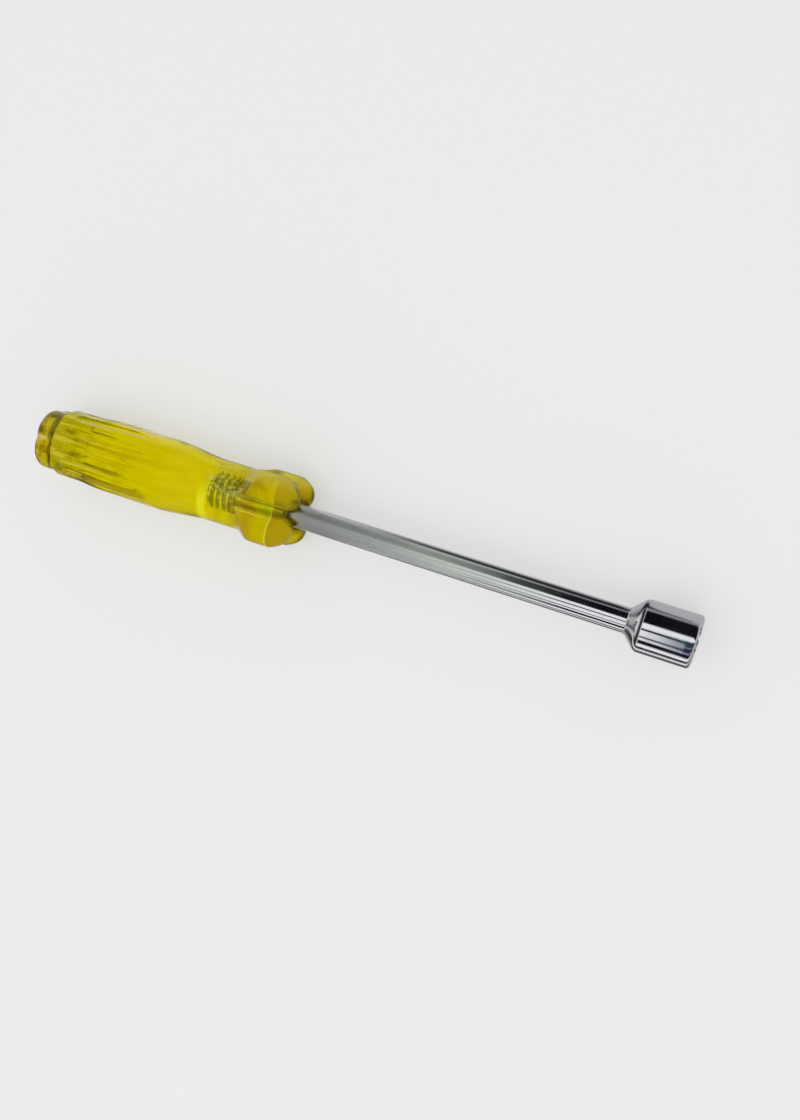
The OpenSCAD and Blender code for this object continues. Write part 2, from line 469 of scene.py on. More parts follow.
def flatten_ribs(piece):
    """Presses the two sides of the ribs flat, so that the tang can't turn in the handle."""
    for side in (1, -1):
        bpy.ops.mesh.select_all(action="DESELECT")
        mesh = bmesh.from_edit_mesh(piece.data)
        for v in mesh.verts:
            v.select_set(v.co.y * side > RIB_FLAT * MM)
        bpy.ops.transform.resize(value=(1, 0, 1), center_override=(0, side * RIB_FLAT * MM, 0))


def make_shaft(material):
    piece = begin_ring("shaft_look", SHAFT_POINTS, SHAFT_FRONT, SHAFT_R - BAR_BEVEL)
    bar_front = SHAFT_FRONT - BAR_BEVEL
    pull_ring(piece, bar_front, SHAFT_R)
    ribs = [TANG_END + BAR_BEVEL + RIB_PITCH * i for i in range(RIB_COUNT)]
    for x in spread(bar_front, ribs[-1] + RIB_WIDTH, BAR_RINGS):
        pull_ring(piece, x, SHAFT_R)
    for rib in reversed(ribs):
        pull_ring(piece, rib + RIB_WIDTH, SHAFT_R)
        pull_ring(piece, rib + RIB_WIDTH - RIB_FACE, RIB_R)
        pull_ring(piece, rib + RIB_FACE, RIB_R)
        pull_ring(piece, rib, SHAFT_R)
    pull_ring(piece, TANG_END, SHAFT_R - BAR_BEVEL)
    close_ends(piece, SHAFT_POINTS)
    flatten_ribs(piece)
    return finish_piece(piece, material, PLAIN_SMOOTH)


# Socket head

def hex_wall(off):
    """How far out the six-sided wall is, off degrees from the middle of a side."""
    return HEX_FLAT_R / math.cos(math.radians(off))


def hex_mouth(off):
    """Where the round lead-in meets the six-sided wall."""
    r = max(hex_wall(off), LEAD_R)
    return -(MOUTH_R - r), r


def hex_step(off):
    """The small step from the lead-in down to the sides, which leaves the corners where they are."""
    r = hex_wall(off)
    if r > LEAD_R:
        return -max(MOUTH_R - r, 0), r
    return -LEAD_DEPTH - LEAD_STEP, r


def hex_at(x):
    """Places on the six-sided wall."""
    def place(off):
        return x, hex_wall(off)
    return place


def relief_edge(off):
    """Places on the round edge below the hexagon, the same on every side."""
    return -HEX_DEPTH, RELIEF_R


def turn_socket_outside(piece):
    """The back edge, the cone, the rounded shoulder, the barrel and the rim."""
    back = SOCKET_BACK + BACK_SINK
    cone_back = SOCKET_BACK + BACK_LIP
    pull_ring(piece, back, BACK_R - BACK_BEVEL)
    pull_ring(piece, back + BACK_BEVEL, BACK_R)
    pull_ring(piece, cone_back, BACK_R + BACK_FLARE)
    slope = math.radians(CONE_ANGLE)
    cone_r = SOCKET_R - SHOULDER_ROUND * (1 - math.cos(slope))
    cone_length = (cone_r - BACK_R) / math.tan(slope)
    for share in CONE_SHARES:
        pull_ring(piece, cone_back + cone_length * share, BACK_R + (cone_r - BACK_R) * share)
    shoulder_x = cone_back + cone_length + SHOULDER_ROUND * math.sin(slope)
    for turn in spread(CONE_ANGLE, 0, SHOULDER_RINGS):
        angle = math.radians(turn)
        x = shoulder_x - SHOULDER_ROUND * math.sin(angle)
        pull_ring(piece, x, SOCKET_R - SHOULDER_ROUND * (1 - math.cos(angle)))
    for x in spread(shoulder_x, -RIM_ROUND, BARREL_RINGS):
        pull_ring(piece, x, SOCKET_R)
    for turn in RIM_TURNS:
        angle = math.radians(turn)
        x = -RIM_ROUND * (1 - math.sin(angle))
        pull_ring(piece, x, SOCKET_R - RIM_ROUND * (1 - math.cos(angle)))


def make_socket_head(material):
    piece = begin_ring("socket_head_look", SOCKET_POINTS, SEAT_X, SHAFT_R - SEAT_FIT)
    pull_ring(piece, SOCKET_BACK + BACK_SINK, SHAFT_R - SEAT_FIT)
    turn_socket_outside(piece)
    pull_ring(piece, 0, MOUTH_R)
    pull_formed(piece, 0, MOUTH_R, *HEX_SIDES, hex_mouth)
    pull_formed(piece, -LEAD_DEPTH, HEX_FLAT_R, *HEX_SIDES, hex_step)
    for x in (HEX_TOP, -HEX_DEPTH):
        pull_formed(piece, x, HEX_FLAT_R, *HEX_SIDES, hex_at(x))
    pull_formed(piece, -HEX_DEPTH, RELIEF_R, *HEX_SIDES, relief_edge)
    pull_ring(piece, -RELIEF_DEPTH, RELIEF_R)
    close_ends(piece, SOCKET_POINTS)
    return finish_piece(piece, material, PLAIN_SMOOTH)


# Finishes

# Clear plastic: its colour at the surface, its colour in depth and how clear it is
YELLOW, YELLOW_DEPTH, YELLOW_CLEAR = (0.98, 0.89, 0.002), (0.966, 0.957, 0.1), 0.87
AMBER, AMBER_DEPTH, AMBER_CLEAR = (0.92, 0.82, 0.06), (0.96, 0.948, 0.1), 0.88
DEPTH_DENSITY = 400
PLASTIC_IOR, PLASTIC_SPECULAR = 1.38, 0.15
PLASTIC_GLEAM = (1.0, 0.9, 0.1)
PLASTIC_ROUGH = (0.05, 0.14)
# How clear the plastic stays where light or shade is painted on it, and how rough the front is
PAINTED_LIGHT_CLEAR, FRONT_ROUGH = 0.6, 0.28

# Colours of the marks in the plastic
CLOUD, VEIN, BROWN = (0.88, 0.68, 0.002), (0.4, 0.28, 0.002), (0.2, 0.12, 0.004)
FRONT_AMBER, DEEP_AMBER = (0.58, 0.41, 0.03), (0.6, 0.34, 0.002)
# Olive painted shade and pale painted glints over the tang, and the collar's olive
OLIVE_SHADE, FLECK_GLINT, COLLAR_OLIVE = (0.5, 0.45, 0.06), (0.8, 0.8, 0.3), (0.6, 0.58, 0.03)
# The pale green is a painted highlight on upper sides; the bright green is by the near valley
PALE_GREEN_SHEEN, LEAF = (0.85, 0.9, 0.3), (0.9, 0.98, 0.004)
# Painted light and shade: a bright yellow for a band of light, a pale yellow for highlights, and a dark brown
# for shade
LIT_YELLOW, PAINTED_GLEAM, SHADE_BROWN = (1.0, 1.0, 0.03), (0.95, 0.86, 0.12), (0.12, 0.085, 0.01)
CAP_GLEAM = (0.95, 0.8, 0.4)

# Steel: bright and satin colours, and where along the tool the satin begins and is full.
# The socket's satin would begin past its mouth, so the socket is bright all over.
SOCKET_STEEL = ((0.74, 0.75, 0.79), (0.7, 0.71, 0.74), 40, 60)
SHAFT_STEEL = ((0.72, 0.73, 0.76), (0.8, 0.8, 0.84), -30, -115)
TANG_DARK, TANG_LIGHT, TANG_GROOVE = (0.28, 0.29, 0.26), (0.9, 0.92, 0.9), (0.3, 0.3, 0.26)
BRIGHT_ROUGH, SATIN_ROUGH, TANG_ROUGH, RUB_ROUGH = 0.07, 0.3, 0.42, 0.05

# Streaks: how fine they are along the tool and across it, their detail and their shift
SCRATCHES = (60, 1500, 3.0, (0, 0, 0))
WAVES = (40, 130, 2.0, (0.7, 5.2, 2.3))
GRAIN = (30, 2500, 2.0, (1.3, 0.2, 4.1))

# Their relief: how strong it is, and how deep
SCRATCH_RELIEF, WAVE_RELIEF, GRAIN_RELIEF = (0.06, 0.2), (0.12, 1.0), (0.05, 0.2)

# Patterns of marks: streaks, and the noise levels at which a mark begins and is full
CLOUDS = (50, 150, 3.0, (8.2, 1.1, 0.6), 0.48, 0.72)
VEINS = (30, 800, 2.0, (2.4, 7.3, 5.5), 0.56, 0.68)
SMUDGES = (150, 150, 4.0, (3.1, 0.4, 1.7), 0.35, 0.7)
BOLSTER_PATCHES = (160, 160, 1.5, (0.3, 2.6, 8.4), 0.52, 0.64)
NECK_STREAKS = (260, 700, 2.0, (0.9, 4.1, 7.2), 0.42, 0.6)
NECK_FLECKS = (500, 900, 2.0, (2.9, 1.4, 5.7), 0.5, 0.62)
RIDGE_BREAKS = (60, 300, 2.0, (1.9, 3.3, 0.2), 0.4, 0.6)
BUTT_SPOTS = (90, 240, 1.5, (4.4, 0.8, 6.1), 0.55, 0.66)
BUTT_GLEAMS = (60, 480, 1.5, (7.7, 2.1, 3.9), 0.57, 0.66)
CAP_CLOUDS = (210, 210, 2.0, (5.3, 2.2, 9.1), 0.52, 0.64)
CAP_PATCHES = (260, 230, 1.5, (1.8, 6.4, 3.3), 0.5, 0.6)
TANG_STAINS = (250, 250, 2.0, (3.6, 5.2, 0.8), 0.5, 0.65)
TANG_LINES = (40, 1300, 2.0, (6.6, 1.2, 2.8), 0.44, 0.62)
METAL_SMUDGES = (120, 300, 4.0, (0, 0, 0), 0.4, 0.7)

# Places along the tool at which a mark begins and is full
VEINS_ALONG = (-162, -188)
BOLSTER_ALONG = (-142, -137)
UNDER_ALONG = (FLANK_MIDDLE, FLANK_MIDDLE + 4)
FRONT_ALONG = (LINE_X - 0.1, LINE_X + 0.1)
COLLAR_ALONG = (SWELL_BACK, FLUTE_END)
RIDGES_ALONG, RIDGE_ENDS = (-180, -192), (FLUTE_END, FLUTE_END + 0.5)
BUTT_ALONG = (-184, -195)
NOTCH_ALONG, CAP_GLEAM_ALONG = (-208.5, -210.5), (-207, -209)
TANG_BARE = (-122, -127)
RIBS_ALONG = (-140.5, -141.5)

# Marks about a place: that place, how far they are full and where they have faded
FLANK_AMBER = (FLANK_MIDDLE, 2.5, 6.5)
# Where the painted shade and glints over the tang lie along the tool
NECK_SHADE = (-143, 5, 10)
NECK_FLECKED = (-143.5, 5, 8)
# Where the valley's painted highlight lines lie along the tool
VALLEY_LINES = ((VALLEY_BACK + LINE_X) / 2, 4.5, 7.0)
LEAF_PATCH = (LINE_X - 2.4, 0.8, 3.0)
# A painted band of light round the grip behind the tang
LIT_RING = (-150.4, 0.9, 2.0)
# A painted highlight along the front edge line
EDGE_GLEAM = (LINE_X - FRONT_EDGE / 2, 0.12, 0.26)
# A notch of painted shade on the cap's end, and a bar of painted highlight below it
CAP_NOTCH = (3.0, 0.7, 1.9)
CAP_BAR = (0.5, 0.3, 1.0)

# Sides of the tool on which a mark begins and is full: y is its upper side in the picture, z its near side
UNDER_Z, UNDER_Y = (0, -4), (-3, 3)
FAR_LOBES_Z, BOLSTER_TOP_Y = (0, -6), (6.5, 10.5)
NECK_Y, FLECK_Y, FLECK_FADE_Y = (-4, 5), (-5, 2), (4, 8)
VALLEY_Y, LOWER_Y = (1, -1), (3, -2)
CAP_UPPER_Y, CAP_GLEAM_Z = (2, 7), (4, 6)

# Radians round the axis over which the valley's painted highlight lines and the leaf fade
VALLEY_LINE_TURN, LEAF_TURN = (0.01, 0.035), (0.3, 0.42)

# Shares of half a flute's pitch at which a ridge's line of painted shade begins and is full
RIDGE_PART = (0.86, 0.97)

# How wide the painted shade round the recess is, and the share of the front's amber at which it begins and is
# full
RECESS_SHADE_WIDTH, RECESS_SHADE_ON_FRONT = 2.4, (0.4, 0.5)

# How far from a rib's middle the groove begins and is full
GROOVE_OFF_RIB = (0.2, 0.8)

# How much the marks cover at most, and those that don't fade to nothing at least
CLOUD_SHARE, FEW_VEINS, MANY_VEINS = 0.7, 0.1, 0.6
FLANK_SHARE, UNDER_SHARE, UNDER_LEAST, FRONT_SHARE = 0.75, 0.8, 0.3, 0.85
PATCH_SHARE, FAR_SHARE, TOP_SHARE = 0.8, 0.4, 0.6
NECK_SHARE, NECK_LEAST, FLECK_SHARE, FLECK_LEAST = 0.75, 0.3, 0.8, 0.3
COLLAR_SHARE, LEAF_SHARE, UPPER_LINE, LOWER_LINE = 0.85, 0.8, 0.45, 0.9
RIDGE_SHARE, RIDGE_LEAST, SPOT_SHARE, GLEAM_SHARE = 0.55, 0.1, 0.8, 0.7
RECESS_SHADE_SHARE, STAIN_SHARE = 0.95, 0.8
CAP_CLOUD_SHARE, CAP_PATCH_SHARE, CAP_GREEN_SHARE, CAP_BAR_SHARE = 0.75, 0.65, 0.5, 0.9


def add(tree, kind, inputs=None, **settings):
    """A node with its settings, its plain values and its links."""
    new = tree.nodes.new(kind)
    for name, value in settings.items():
        setattr(new, name, value)
    for name, value in (inputs or {}).items():
        if isinstance(value, bpy.types.NodeSocket):
            tree.links.new(value, new.inputs[name])
        else:
            new.inputs[name].default_value = value
    return new


def empty_finish(name):
    finish = bpy.data.materials.new(name)
    finish.use_nodes = True
    finish.node_tree.nodes.clear()
    return finish, finish.node_tree


def object_axes(tree):
    """The place on the piece, as its X, Y and Z."""
    place = add(tree, "ShaderNodeTexCoord").outputs["Object"]
    return add(tree, "ShaderNodeSeparateXYZ", {"Vector": place}).outputs


def streaks(tree, along, across, detail, shift):
    """Noise drawn out along the tool's axis."""
    place = add(tree, "ShaderNodeTexCoord").outputs["Object"]
    stretched = add(tree, "ShaderNodeMapping", {
        "Vector": place, "Location": shift, "Scale": (along, across, across),
    })
    return add(tree, "ShaderNodeTexNoise", {
        "Vector": stretched.outputs["Vector"], "Scale": 1.0, "Detail": detail,
    }).outputs["Fac"]


def between(tree, value, low, high, to_low, to_high):
    """Goes from to_low to to_high as the value goes from low to high."""
    return add(tree, "ShaderNodeMapRange", {
        "Value": value, "From Min": low, "From Max": high, "To Min": to_low, "To Max": to_high,
    }).outputs["Result"]


def grade(tree, place, start, end, first=0, last=1):
    """Goes from first to last as a place on the piece goes from start to end (mm)."""
    return between(tree, place, start * MM, end * MM, first, last)


def marks(tree, pattern, least=0, most=1):
    """How much the marks of a pattern cover."""
    *noise, start, full = pattern
    return between(tree, streaks(tree, *noise), start, full, least, most)


def maths(tree, operation, *values):
    return add(tree, "ShaderNodeMath", dict(enumerate(values)), operation=operation).outputs["Value"]


def product(tree, first, *others):
    for other in others:
        first = maths(tree, "MULTIPLY", first, other)
    return first


def largest(tree, first, *others):
    for other in others:
        first = maths(tree, "MAXIMUM", first, other)
    return first


def tint(tree, under, over, share):
    """Lays one colour over another by a share."""
    mix = add(tree, "ShaderNodeMix", {"Factor": share}, data_type="RGBA")
    for side, colour in (("A", under), ("B", over)):
        if isinstance(colour, bpy.types.NodeSocket):
            tree.links.new(colour, mix.inputs[side])
        else:
            mix.inputs[side].default_value = (*colour, 1)
    return mix.outputs["Result"]


def near_place(tree, axis, place, full, fade):
    """1 within full of a place on an axis (mm), falling to 0 at fade."""
    away = maths(tree, "ABSOLUTE", maths(tree, "SUBTRACT", axis, place * MM))
    return grade(tree, away, full, fade, 1, 0)


def relief(tree, pattern, strength, depth, under=None):
    """Streaks as low relief, on top of the relief under them."""
    inputs = {"Height": streaks(tree, *pattern), "Strength": strength, "Distance": depth * MM}
    if under is not None:
        inputs["Normal"] = under
    return add(tree, "ShaderNodeBump", inputs).outputs["Normal"]


def amber_bolster(tree, axes, colour):
    """Amber on the bolster's flank, underside and front, browner on the far lobes as painted shade, with a
    pale green painted highlight on top.
    """
    flank = product(tree, near_place(tree, axes["X"], *FLANK_AMBER), FLANK_SHARE)
    under = product(
        tree, grade(tree, axes["Z"], *UNDER_Z, 0, UNDER_SHARE),
        grade(tree, axes["Y"], *UNDER_Y, UNDER_LEAST, 1), grade(tree, axes["X"], *UNDER_ALONG),
    )
    front = grade(tree, axes["X"], *FRONT_ALONG, 0, FRONT_SHARE)
    colour = tint(tree, colour, FRONT_AMBER, largest(tree, flank, under))
    colour = tint(tree, colour, FRONT_AMBER, front)
    on_bolster = grade(tree, axes["X"], *BOLSTER_ALONG)
    patches = product(tree, marks(tree, BOLSTER_PATCHES, 0, PATCH_SHARE), on_bolster)
    colour = tint(tree, colour, DEEP_AMBER, patches)
    # Painted shade: the front of the far lobes, away from the light, is browner
    shaded_far_front = product(tree, front, grade(tree, axes["Z"], *FAR_LOBES_Z, 0, FAR_SHARE))
    colour = tint(tree, colour, BROWN, shaded_far_front)
    # A painted highlight: the bolster's upper side is pale green
    lit_top = product(tree, grade(tree, axes["Y"], *BOLSTER_TOP_Y, 0, TOP_SHARE), on_bolster)
    return tint(tree, colour, PALE_GREEN_SHEEN, lit_top), front, lit_top


def neck_shade_and_glints(tree, axes, colour):
    """Olive streaks of painted shade and pale flecks of painted glints over the tang."""
    shade = product(
        tree, near_place(tree, axes["X"], *NECK_SHADE), grade(tree, axes["Y"], *NECK_Y, 0, NECK_SHARE),
        marks(tree, NECK_STREAKS, NECK_LEAST, 1),
    )
    colour = tint(tree, colour, OLIVE_SHADE, shade)
    glint_flecks = product(
        tree, near_place(tree, axes["X"], *NECK_FLECKED), grade(tree, axes["Y"], *FLECK_Y, 0, FLECK_SHARE),
        marks(tree, NECK_FLECKS), grade(tree, axes["Y"], *FLECK_FADE_Y, 1, FLECK_LEAST),
    )
    return tint(tree, colour, FLECK_GLINT, glint_flecks), glint_flecks


def valley_marks(tree, axes, turn, colour):
    """Bright green by the near valley, and a painted highlight line along each of its edges."""
    steep = maths(tree, "ABSOLUTE", turn)
    off_edge = maths(tree, "ABSOLUTE", maths(tree, "SUBTRACT", steep, math.radians(VALLEY_EDGE)))
    # Painted highlights along the valley's edges, stronger on the lower one
    lines = product(
        tree, between(tree, off_edge, *VALLEY_LINE_TURN, 1, 0),
        grade(tree, axes["Y"], *VALLEY_Y, UPPER_LINE, LOWER_LINE), near_place(tree, axes["X"], *VALLEY_LINES),
    )
    leaf = product(
        tree, between(tree, steep, *LEAF_TURN, 1, 0), near_place(tree, axes["X"], *LEAF_PATCH), LEAF_SHARE,
    )
    return tint(tree, colour, LEAF, leaf), lines


def flute_marks(tree, axes, turn, colour, lines):
    """Dark broken lines of painted shade on the ridges, brown spots and painted gleams towards the butt, and
    the valley's painted highlight lines.
    """
    half_pitch = math.radians(FLUTE_PITCH / 2)
    off_flute = maths(tree, "PINGPONG", turn, half_pitch)
    ridge_edge, ridge_top = (part * half_pitch for part in RIDGE_PART)
    # Painted shade: dark broken lines along the ridges between the flutes
    ridge_shade = product(
        tree, between(tree, off_flute, ridge_edge, ridge_top, 0, RIDGE_SHARE),
        marks(tree, RIDGE_BREAKS, RIDGE_LEAST, 1), grade(tree, axes["X"], *RIDGES_ALONG),
        grade(tree, axes["X"], *RIDGE_ENDS),
    )
    colour = tint(tree, colour, VEIN, ridge_shade)
    butt_end = grade(tree, axes["X"], *BUTT_ALONG)
    colour = tint(tree, colour, BROWN, product(tree, marks(tree, BUTT_SPOTS, 0, SPOT_SHARE), butt_end))
    # Painted gleams towards the butt, joined by the valley's painted highlight lines
    gleams = product(tree, marks(tree, BUTT_GLEAMS, 0, GLEAM_SHARE), butt_end)
    gleams = largest(tree, gleams, lines)
    return tint(tree, colour, PAINTED_GLEAM, gleams), gleams


def front_marks(tree, axes, colour, front):
    """A painted band of light behind the tang, painted shade round the recess and a painted highlight along
    the lower front edge.
    """
    lower = grade(tree, axes["Y"], *LOWER_Y)
    # A painted band of light on the lower side, behind the tang
    ring = product(tree, near_place(tree, axes["X"], *LIT_RING), lower)
    colour = tint(tree, colour, LIT_YELLOW, ring)
    across = add(tree, "ShaderNodeCombineXYZ", {"Y": axes["Y"], "Z": axes["Z"]}).outputs["Vector"]
    out = add(tree, "ShaderNodeVectorMath", {0: across}, operation="LENGTH").outputs["Value"]
    # Painted shade: darker round the recess where the shaft goes in
    recess_shade = product(
        tree, grade(tree, out, RECESS_R, RECESS_R + RECESS_SHADE_WIDTH, RECESS_SHADE_SHARE, 0),
        between(tree, front, *RECESS_SHADE_ON_FRONT, 0, 1),
    )
    colour = tint(tree, colour, SHADE_BROWN, recess_shade)
    # A painted highlight along the lower front edge
    edge_gleam = product(tree, near_place(tree, axes["X"], *EDGE_GLEAM), lower)
    return tint(tree, colour, PAINTED_GLEAM, edge_gleam), largest(tree, edge_gleam, recess_shade, ring)


def handle_marks_and_light(tree, axes, colour, clear):
    """All of the handle's marks and painted light and shade. Gives the colour, how clear the plastic is and
    how rough it is at least.
    """
    colour, front, lit_top = amber_bolster(tree, axes, colour)
    colour, glint_flecks = neck_shade_and_glints(tree, axes, colour)
    colour = tint(tree, colour, COLLAR_OLIVE, grade(tree, axes["X"], *COLLAR_ALONG, 0, COLLAR_SHARE))
    turn = maths(tree, "ARCTAN2", axes["Y"], axes["Z"])
    colour, lines = valley_marks(tree, axes, turn, colour)
    colour, gleams = flute_marks(tree, axes, turn, colour, lines)
    colour, painted_light_and_shade = front_marks(tree, axes, colour, front)
    # Where light or shade is painted, the plastic is less clear, so the painted colour shows
    painted_light_and_shade = largest(tree, painted_light_and_shade, gleams, glint_flecks, lit_top)
    return colour, between(tree, painted_light_and_shade, 0, 1, clear, PAINTED_LIGHT_CLEAR), between(tree, front, 0, 1, 0, FRONT_ROUGH)


def cap_marks_and_light(tree, axes, colour, clear):
    """Brown and amber clouds, a greener upper side of painted highlight, and a notch of painted shade at the
    end over a pale bar of painted highlight.
    """
    colour = tint(tree, colour, BROWN, marks(tree, CAP_CLOUDS, 0, CAP_CLOUD_SHARE))
    colour = tint(tree, colour, DEEP_AMBER, marks(tree, CAP_PATCHES, 0, CAP_PATCH_SHARE))
    # A painted highlight: the cap's upper side is greener
    colour = tint(tree, colour, PALE_GREEN_SHEEN, grade(tree, axes["Y"], *CAP_UPPER_Y, 0, CAP_GREEN_SHARE))
    notch_shade = product(tree, grade(tree, axes["X"], *NOTCH_ALONG), near_place(tree, axes["Y"], *CAP_NOTCH))
    colour = tint(tree, colour, SHADE_BROWN, notch_shade)
    gleam_bar = product(
        tree, grade(tree, axes["X"], *CAP_GLEAM_ALONG), near_place(tree, axes["Y"], *CAP_BAR),
        grade(tree, axes["Z"], *CAP_GLEAM_Z, 0, CAP_BAR_SHARE),
    )
    return tint(tree, colour, CAP_GLEAM, gleam_bar), between(tree, gleam_bar, 0, 1, clear, PAINTED_LIGHT_CLEAR), 0.0


def clear_plastic(name, body, depth, clear, marks_and_light):
    """Clear plastic: coloured right through, a little milky, with clouds, veins, scratches, marks, and
    painted light and shade.
    """
    finish, tree = empty_finish(name)
    axes = object_axes(tree)
    veins = product(tree, marks(tree, VEINS), grade(tree, axes["X"], *VEINS_ALONG, FEW_VEINS, MANY_VEINS))
    colour = tint(tree, body, CLOUD, marks(tree, CLOUDS, 0, CLOUD_SHARE))
    colour, clear, dull = marks_and_light(tree, axes, tint(tree, colour, VEIN, veins), clear)
    scratched = relief(tree, SCRATCHES, *SCRATCH_RELIEF)
    shell = add(tree, "ShaderNodeBsdfPrincipled", {
        "Base Color": colour, "Roughness": largest(tree, marks(tree, SMUDGES, *PLASTIC_ROUGH), dull),
        "Normal": relief(tree, WAVES, *WAVE_RELIEF, scratched), "Transmission Weight": clear,
        "IOR": PLASTIC_IOR, "Specular IOR Level": PLASTIC_SPECULAR, "Specular Tint": (*PLASTIC_GLEAM, 1),
    })
    inside = add(tree, "ShaderNodeVolumeAbsorption", {"Color": (*depth, 1), "Density": DEPTH_DENSITY})
    add(tree, "ShaderNodeOutputMaterial", {
        "Surface": shell.outputs["BSDF"], "Volume": inside.outputs["Volume"],
    })
    return finish


def tang_steel(tree, along):
    """The tang's dull steel: dark with light lines in front, then light stained rings with darker grooves."""
    first_rib = TANG_END + BAR_BEVEL + RIB_WIDTH / 2
    off_rib = maths(tree, "SUBTRACT", along, first_rib * MM)
    off_rib = maths(tree, "PINGPONG", off_rib, RIB_PITCH / 2 * MM)
    rings = tint(tree, TANG_LIGHT, TANG_GROOVE, grade(tree, off_rib, *GROOVE_OFF_RIB))
    rings = tint(tree, rings, TANG_DARK, marks(tree, TANG_STAINS, 0, STAIN_SHARE))
    lines = tint(tree, TANG_DARK, TANG_LIGHT, marks(tree, TANG_LINES))
    return tint(tree, lines, rings, grade(tree, along, *RIBS_ALONG))


def plating(name, bright, satin, satin_from, satin_to):
    """Bright plating over turned steel, which goes satin along the tool and dull on the tang."""
    finish, tree = empty_finish(name)
    along = object_axes(tree)["X"]
    satined = grade(tree, along, satin_from, satin_to)
    bare = grade(tree, along, *TANG_BARE)
    rough = between(tree, satined, 0, 1, BRIGHT_ROUGH, SATIN_ROUGH)
    rough = maths(tree, "ADD", rough, marks(tree, METAL_SMUDGES, 0, RUB_ROUGH))
    rough = add(tree, "ShaderNodeMix", {"Factor": bare, "A": rough, "B": TANG_ROUGH}).outputs["Result"]
    steel = tint(tree, tint(tree, bright, satin, satined), tang_steel(tree, along), bare)
    shell = add(tree, "ShaderNodeBsdfPrincipled", {
        "Base Color": steel, "Metallic": 1.0, "Roughness": rough,
        "Normal": relief(tree, GRAIN, *GRAIN_RELIEF),
    })
    add(tree, "ShaderNodeOutputMaterial", {"Surface": shell.outputs["BSDF"]})
    return finish


# Floor, light and camera, with places in metres

FLOOR_Z = -11.43 * MM
FLOOR_SIZE = 4
PAPER, PALE = (0.84, 0.84, 0.83, 1), (0.86, 0.86, 0.84, 1)
PALE_SHARE = 0.5

# What is mirrored of the floor: distance from the tool's axis (far side positive) and how bright it is there
FLOOR_SPAN = 0.4
METAL_FLOOR = (
    (-0.4, 0.02), (-0.08, 0.02), (-0.06, 0.8), (-0.035, 0.8),
    (-0.028, 0.04), (-0.02, 0.04), (-0.014, 0.5), (0.4, 0.46),
)
GRIP_FLOOR = (
    (-0.4, 0.15), (-0.03, 0.15), (-0.018, 0.7), (-0.008, 0.7), (0.0, 0.6),
    (0.012, 1.0), (0.08, 1.0), (0.14, 0.4), (0.4, 0.1),
)
GRIP_ALONG = (-0.118, -0.128)

# Shade on it, along the tool: place, and how much is taken off there
SHAFT_SHADE = ((-0.112, 0), (-0.092, 0.94), (-0.025, 0.94), (-0.018, 0))
BOLSTER_SHADE = ((-0.178, 0), (-0.168, 0.45), (-0.15, 0.45), (-0.143, 0.75), (-0.128, 0.75), (-0.123, 0))

# The same across the tool: where each shade begins and is full
SHAFT_SHADE_Y, BOLSTER_SHADE_Y = (0.014, 0.022), (-0.012, -0.004)

# What is mirrored of the room: degrees of lean towards the far side, and the colour there.
# The degrees are counted from ROOM_LEAN off straight up.
ROOM_LEAN = 8
QUARTER = 90
DARK, WHITE, BLACK = (0.004, 0.004, 0.006), (1.0, 1.0, 1.0), (0, 0, 0)
NAVY, TEAL = (0.02, 0.02, 0.06), (0.02, 0.05, 0.07)
SKY = (0.8, 0.81, 0.83)
CEILING = ((12, WHITE), (15, DARK), (66, DARK), (74, (0.28, 0.28, 0.31)), (90, (0.34, 0.34, 0.37)))
CEILING_SHARE = ((12, BLACK), (15, WHITE), (60, WHITE), (72, BLACK))
LEFT_BANDS = (
    (-90, WHITE), (-82, WHITE), (-79, DARK), (-63, DARK), (-60, WHITE), (-52, WHITE), (-49, DARK),
    (-44, DARK), (-41, WHITE), (-19, WHITE), (-17, DARK), (-11, DARK), (-9, WHITE),
) + CEILING
RIGHT_BANDS = (
    (-90, WHITE), (-84, WHITE), (-80, DARK), (-62, NAVY), (-58, (0.5, 0.5, 0.5)), (-53, NAVY), (-36, NAVY),
    (-33, (0.3, 0.34, 0.42)), (-27, TEAL), (-6, TEAL), (-3, WHITE),
) + CEILING

# The same towards the butt's end of the room: from straight along the tool (0) to square to it (1)
PALE_WALL, GREY_WALL, DARK_WALL = (0.75, 0.75, 0.77), (0.2, 0.2, 0.2), (0.03, 0.03, 0.03)
DIM_GREEN, GREEN = (0.4, 0.43, 0.38), (0.62, 0.67, 0.58)
BACK_OF_ROOM = (
    (0.0, PALE_WALL), (0.12, PALE_WALL), (0.2, GREY_WALL), (0.36, DARK_WALL),
    (0.62, DARK_WALL), (0.66, DIM_GREEN), (0.7, GREEN), (1.0, GREEN),
)

# How far a direction points along the tool where one part of the room gives way to the next
LEFT_TO_RIGHT, BACK_TO_SIDES = (-0.075, -0.045), (-0.25, -0.17)
CEILING_FROM, CEILING_TO = (-0.28, -0.21), (-0.2, -0.17)

# The window: its place, its size, its power and what it faces
WINDOW_AT, WINDOW_SIZE, WINDOW_POWER = (-0.1, -0.35, 1.0), (1.0, 1.0), 2.6
WINDOW_AIM = (-0.09, 0, 0)

# The camera: where it stands (mm), the way it looks and the way that is level in the picture
EYE = (11.99, 50.40, 317.70)
SIGHT = (-0.2949, -0.1594, -0.9421)
LEVEL = (0.9095, 0.2555, -0.3280)
SENSOR, LENS = 36.0, 36.964
CLIP_START = 0.01


def set_stops(ramp, stops):
    """Gives a colour ramp its stops, as pairs of place and colour."""
    elements = ramp.color_ramp.elements
    while len(elements) < len(stops):
        elements.new(0.5)
    for element, (place, colour) in zip(elements, stops):
        element.position = place
        element.color = (*colour, 1)


